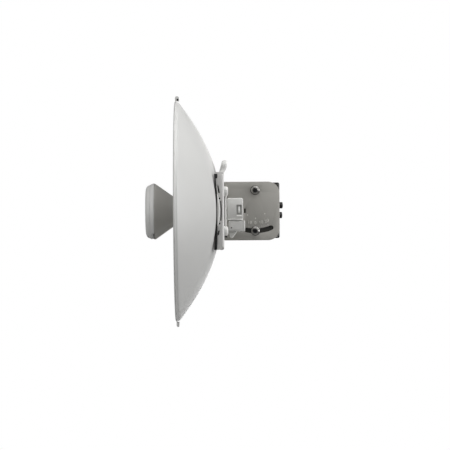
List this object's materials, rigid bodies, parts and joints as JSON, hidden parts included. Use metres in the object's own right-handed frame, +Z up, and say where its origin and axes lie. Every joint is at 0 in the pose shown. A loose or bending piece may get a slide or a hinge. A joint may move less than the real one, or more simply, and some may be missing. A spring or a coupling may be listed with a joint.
{
  "type": "wireless bridge dish antenna",
  "caption": "Parabolic dish antenna with conical feed, rear radio box and grab handle, on a tilting bracket with an arc slot and a pole clamp.",
  "frame": {"origin": "on the flat outer face of the rear clamp jaw, midway between the tilt plates and at the height of the dish axis", "axes": "+X from the dish towards the pole and out of the jaw's face, +Y along the tilt axis away from the radio's side, +Z up"},
  "size_m": [0.2799, 0.447, 0.469],
  "materials": {
    "reflector_paint": "satin light grey powder coat on pressed aluminium",
    "feed_plastic": "satin light grey plastic",
    "feed_metal": "plain drawn aluminium",
    "cone_plastic": "matt warm dark grey plastic",
    "cast_metal": "plain cast aluminium",
    "plate_paint": "satin grey paint on pressed aluminium",
    "radio_plastic": "satin light grey moulded plastic",
    "bracket_paint": "satin warm grey paint on folded steel",
    "jaw_paint": "dark olive grey coating on folded steel",
    "black_fastener": "black coated steel",
    "zinc_fastener": "zinc plated steel"
  },
  "bodies": {
    "pole_bracket": {"front_jaw": "jaw_paint", "rear_jaw": "jaw_paint", "clamp_bolt_near": "black_fastener", "clamp_bolt_far": "black_fastener", "clamp_nut_near": "black_fastener", "clamp_nut_far": "black_fastener", "pivot_bolt_near": "black_fastener", "pivot_bolt_far": "black_fastener", "pivot_nut_near": "zinc_fastener", "pivot_nut_far": "zinc_fastener", "slot_bolt_near": "black_fastener", "slot_bolt_far": "black_fastener", "slot_nut_near": "zinc_fastener", "slot_nut_far": "zinc_fastener"},
    "antenna": {"reflector": "reflector_paint", "rim_eye_top": "reflector_paint", "rim_foot_bottom": "reflector_paint", "feed_collar": "feed_plastic", "feed_tube": "feed_metal", "feed_cone": "cone_plastic", "feed_cap": "feed_plastic", "hub_spacer": "cast_metal", "back_plate": "plate_paint", "carry_handle": "radio_plastic", "cap_nut_upper_near": "radio_plastic", "cap_nut_upper_far": "radio_plastic", "cap_nut_lower_near": "radio_plastic", "cap_nut_lower_far": "radio_plastic", "radio_base": "radio_plastic", "radio_housing": "radio_plastic", "radio_lower_block": "radio_plastic", "latch_near": "radio_plastic", "latch_far": "radio_plastic", "cable_cover": "radio_plastic", "tilt_bracket": "bracket_paint"}
  },
  "joints": [
    {"name": "tilt", "type": "hinge", "parent": "pole_bracket", "child": "antenna", "pos_m": [-0.05, 0, 0.0433], "axis": [0, 1, 0], "range_deg": [-10, 20]}
  ]
}
